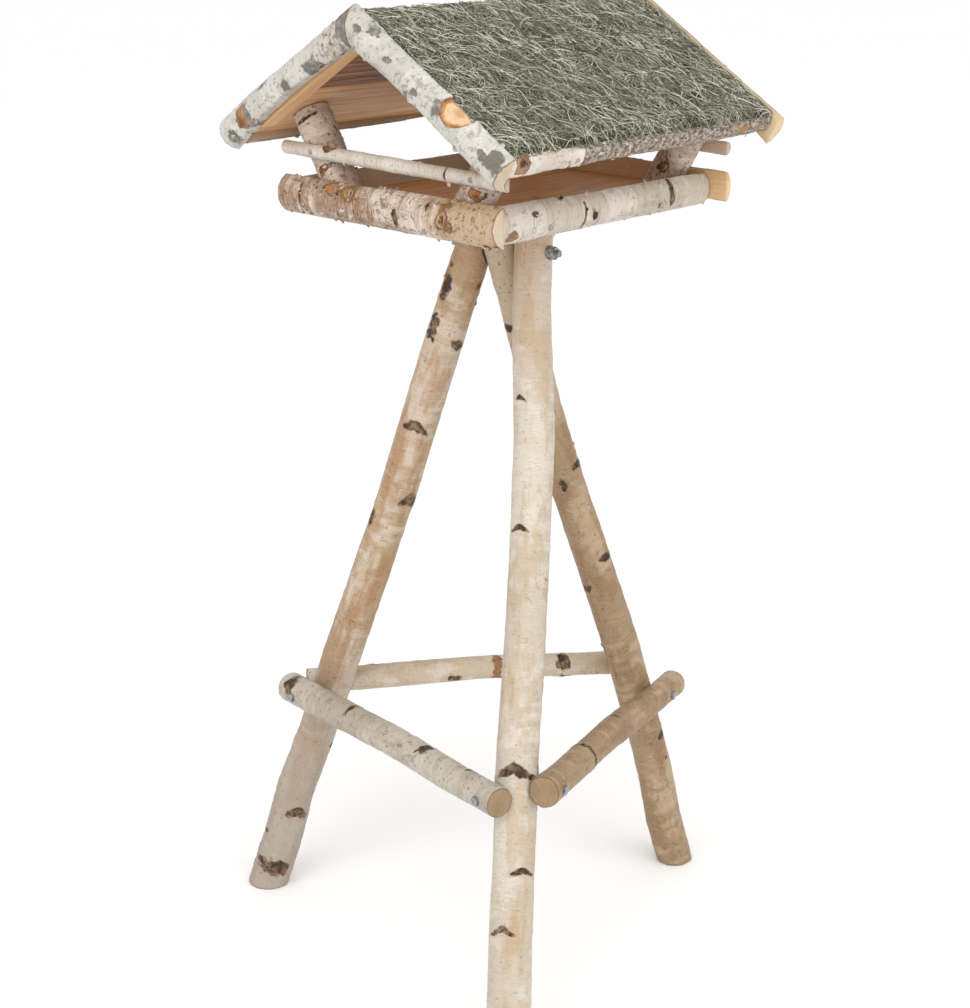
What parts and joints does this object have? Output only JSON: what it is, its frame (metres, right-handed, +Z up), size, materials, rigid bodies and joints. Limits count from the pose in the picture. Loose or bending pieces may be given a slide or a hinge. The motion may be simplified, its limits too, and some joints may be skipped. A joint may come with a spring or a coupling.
{
  "type": "bird table",
  "caption": "Roofed bird feeding table of half-round birch slabs with a thatched gable roof, standing on a birch pole tripod with cross rails.",
  "frame": {"origin": "on the ground, in the middle of the footprint's box", "axes": "+X along the front gable to its right, +Y along the ridge towards the rear gable, +Z up"},
  "size_m": [0.598, 0.5908, 1.179],
  "materials": {
    "birch_pole": "rough bark",
    "birch_slab": "rough bark",
    "pine": "sawn",
    "thatch": "loose dry straw",
    "zinced_steel": "zinc plated"
  },
  "bodies": {
    "root": {"cross_rail_left": "birch_pole", "cross_rail_rear": "birch_pole", "cross_rail_right": "birch_pole", "cross_rail_screws": "zinced_steel", "eave_nails": "zinced_steel", "eave_slab_left": "birch_slab", "eave_slab_right": "birch_slab", "floor_plank_left": "pine", "floor_plank_right": "pine", "house_screws": "zinced_steel", "leg_front": "birch_pole", "leg_left": "birch_pole", "leg_right": "birch_pole", "perch_front": "birch_slab", "perch_nails": "zinced_steel", "perch_rear": "birch_slab", "post_floor_screws": "zinced_steel", "post_front_left": "birch_slab", "post_front_right": "birch_slab", "post_rear_left": "birch_slab", "post_rear_right": "birch_slab", "post_roof_screws": "zinced_steel", "rafter_front_left": "pine", "rafter_front_right": "pine", "rafter_rear_left": "pine", "rafter_rear_right": "pine", "rake_front_left": "birch_slab", "rake_front_right": "birch_slab", "rake_nails": "zinced_steel", "rake_rear_left": "birch_slab", "rake_rear_right": "birch_slab", "roof_plank_left_lower": "pine", "roof_plank_left_upper": "pine", "roof_plank_nails": "zinced_steel", "roof_plank_right_lower": "pine", "roof_plank_right_upper": "pine", "thatch_left": "thatch", "thatch_right": "thatch", "tray_rail_front": "birch_slab", "tray_rail_left": "birch_slab", "tray_rail_nails": "zinced_steel", "tray_rail_rear": "birch_slab", "tray_rail_right": "birch_slab", "tripod_bolt": "zinced_steel", "tripod_nut": "zinced_steel", "tripod_washers": "zinced_steel"}
  },
  "joints": []
}
